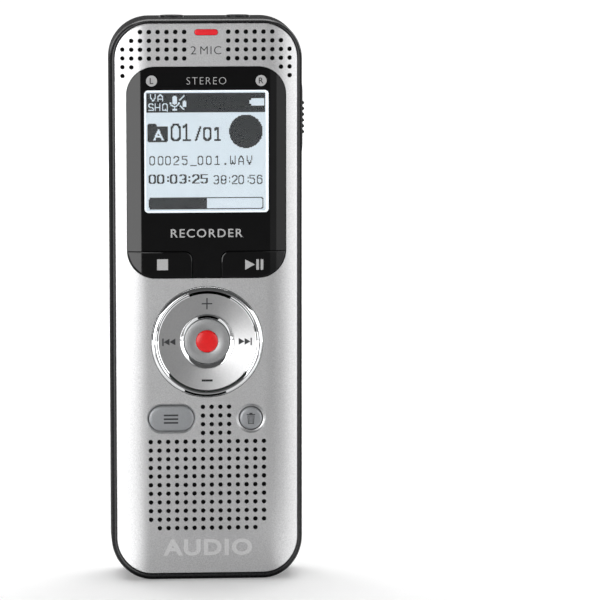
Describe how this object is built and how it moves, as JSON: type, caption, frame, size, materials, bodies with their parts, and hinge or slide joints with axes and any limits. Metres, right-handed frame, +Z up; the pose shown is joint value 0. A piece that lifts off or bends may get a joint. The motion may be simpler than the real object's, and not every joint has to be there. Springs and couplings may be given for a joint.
{
  "type": "handheld voice recorder",
  "caption": "Slim handheld voice recorder with a display window, round navigation pad with a record button, perforated speaker and microphone grilles, side slider and sliding battery door.",
  "frame": {"origin": "middle of the flat bottom end, where the recorder stands upright", "axes": "+Z up along the body, the front with the display faces -Y, +X to the right of someone looking at the front"},
  "size_m": [0.0447, 0.0196, 0.1294],
  "materials": {
    "front_shell": "fine metallic silver paint",
    "display_lens": "polished, black outside the display area",
    "mid_frame": "satin black",
    "rear_shell": "satin black",
    "battery_door": "satin black",
    "stop_key": "polished black",
    "play_key": "polished black",
    "nav_outer_ring": "mirror",
    "nav_inner_ring": "mirror",
    "nav_pad": "circular brushing",
    "nav_rocker": "moulded",
    "record_button": "satin silver",
    "record_cap": "gloss red",
    "menu_button": "satin grey",
    "delete_button": "satin grey",
    "button_mat": "moulded silicone",
    "led_window": "translucent red",
    "lcd_glass": "pale grey-blue display",
    "lcd_backlight": "white light guide",
    "lcd_flex": "polyimide film",
    "main_board": "solder resist",
    "processor": "moulded epoxy",
    "flash_memory": "moulded epoxy",
    "speaker_frame": "pressed",
    "speaker_cone": "treated paper",
    "speaker_magnet": "plated",
    "speaker_mesh": "acoustic cloth",
    "mic_mesh_left": "acoustic cloth",
    "mic_mesh_right": "acoustic cloth",
    "mic_left": "drawn can",
    "mic_right": "drawn can",
    "mic_boot_left": "moulded",
    "mic_boot_right": "moulded",
    "socket_mic": "moulded",
    "socket_phones": "moulded",
    "collar_mic": "satin black",
    "collar_phones": "satin black",
    "usb_port": "pressed and plated",
    "card_slot": "pressed and plated",
    "switch_body": "pressed",
    "power_slider": "satin black",
    "slider_bezel": "satin black",
    "cell_left": "plain sleeve",
    "cell_right": "plain sleeve",
    "spring_left": "plated wire",
    "spring_right": "plated wire",
    "contact_plate_bottom": "plated",
    "contact_plate_left": "plated",
    "contact_plate_right": "plated",
    "back_screw_left": "blackened",
    "back_screw_right": "blackened",
    "dome_up": "sprung disc",
    "dome_down": "sprung disc",
    "dome_left": "sprung disc",
    "dome_right": "sprung disc",
    "dome_record": "sprung disc",
    "dome_menu": "sprung disc",
    "dome_delete": "sprung disc",
    "dome_stop": "sprung disc",
    "dome_play": "sprung disc"
  },
  "bodies": {
    "body": {"front_shell": "front_shell", "display_lens": "display_lens", "mid_frame": "mid_frame", "rear_shell": "rear_shell", "nav_outer_ring": "nav_outer_ring", "button_mat": "button_mat", "led_window": "led_window", "lcd_glass": "lcd_glass", "lcd_backlight": "lcd_backlight", "lcd_flex": "lcd_flex", "main_board": "main_board", "processor": "processor", "flash_memory": "flash_memory", "speaker_frame": "speaker_frame", "speaker_cone": "speaker_cone", "speaker_magnet": "speaker_magnet", "speaker_mesh": "speaker_mesh", "mic_mesh_left": "mic_mesh_left", "mic_mesh_right": "mic_mesh_right", "mic_left": "mic_left", "mic_right": "mic_right", "mic_boot_left": "mic_boot_left", "mic_boot_right": "mic_boot_right", "socket_mic": "socket_mic", "socket_phones": "socket_phones", "collar_mic": "collar_mic", "collar_phones": "collar_phones", "usb_port": "usb_port", "card_slot": "card_slot", "switch_body": "switch_body", "slider_bezel": "slider_bezel", "cell_left": "cell_left", "cell_right": "cell_right", "spring_left": "spring_left", "spring_right": "spring_right", "contact_plate_bottom": "contact_plate_bottom", "contact_plate_left": "contact_plate_left", "contact_plate_right": "contact_plate_right", "back_screw_left": "back_screw_left", "back_screw_right": "back_screw_right", "dome_up": "dome_up", "dome_down": "dome_down", "dome_left": "dome_left", "dome_right": "dome_right", "dome_record": "dome_record", "dome_menu": "dome_menu", "dome_delete": "dome_delete", "dome_stop": "dome_stop", "dome_play": "dome_play"},
    "door": {"battery_door": "battery_door"},
    "stop": {"stop_key": "stop_key"},
    "play": {"play_key": "play_key"},
    "rocker": {"nav_rocker": "nav_rocker"},
    "pad": {"nav_pad": "nav_pad", "nav_inner_ring": "nav_inner_ring"},
    "record": {"record_button": "record_button", "record_cap": "record_cap"},
    "menu": {"menu_button": "menu_button"},
    "delete": {"delete_button": "delete_button"},
    "slider": {"power_slider": "power_slider"}
  },
  "joints": [
    {"name": "door_slide", "type": "slide", "parent": "body", "child": "door", "axis": [0, 0, -1], "range_m": [0, 0.06]},
    {"name": "stop_press", "type": "slide", "parent": "body", "child": "stop", "axis": [0, 1, 0], "range_m": [0, 0.0004], "stiffness_N_per_m": 200},
    {"name": "play_press", "type": "slide", "parent": "body", "child": "play", "axis": [0, 1, 0], "range_m": [0, 0.0004], "stiffness_N_per_m": 200},
    {"name": "rocker_tilt", "type": "hinge", "parent": "body", "child": "rocker", "pos_m": [0, -0.0072, 0.05535], "axis": [1, 0, 0], "range_deg": [-2.4, 2.4], "stiffness_Nm_per_rad": 0.02},
    {"name": "pad_tilt", "type": "hinge", "parent": "rocker", "child": "pad", "pos_m": [0, -0.0072, 0.05535], "axis": [0, 0, 1], "range_deg": [-2.4, 2.4], "stiffness_Nm_per_rad": 0.02},
    {"name": "record_press", "type": "slide", "parent": "body", "child": "record", "axis": [0, 1, 0], "range_m": [0, 0.0004], "stiffness_N_per_m": 200},
    {"name": "menu_press", "type": "slide", "parent": "body", "child": "menu", "axis": [0, 1, 0], "range_m": [0, 0.0004], "stiffness_N_per_m": 200},
    {"name": "delete_press", "type": "slide", "parent": "body", "child": "delete", "axis": [0, 1, 0], "range_m": [0, 0.0004], "stiffness_N_per_m": 200},
    {"name": "power_slide", "type": "slide", "parent": "body", "child": "slider", "axis": [0, 0, 1], "range_m": [-0.0018, 0.0018]}
  ]
}
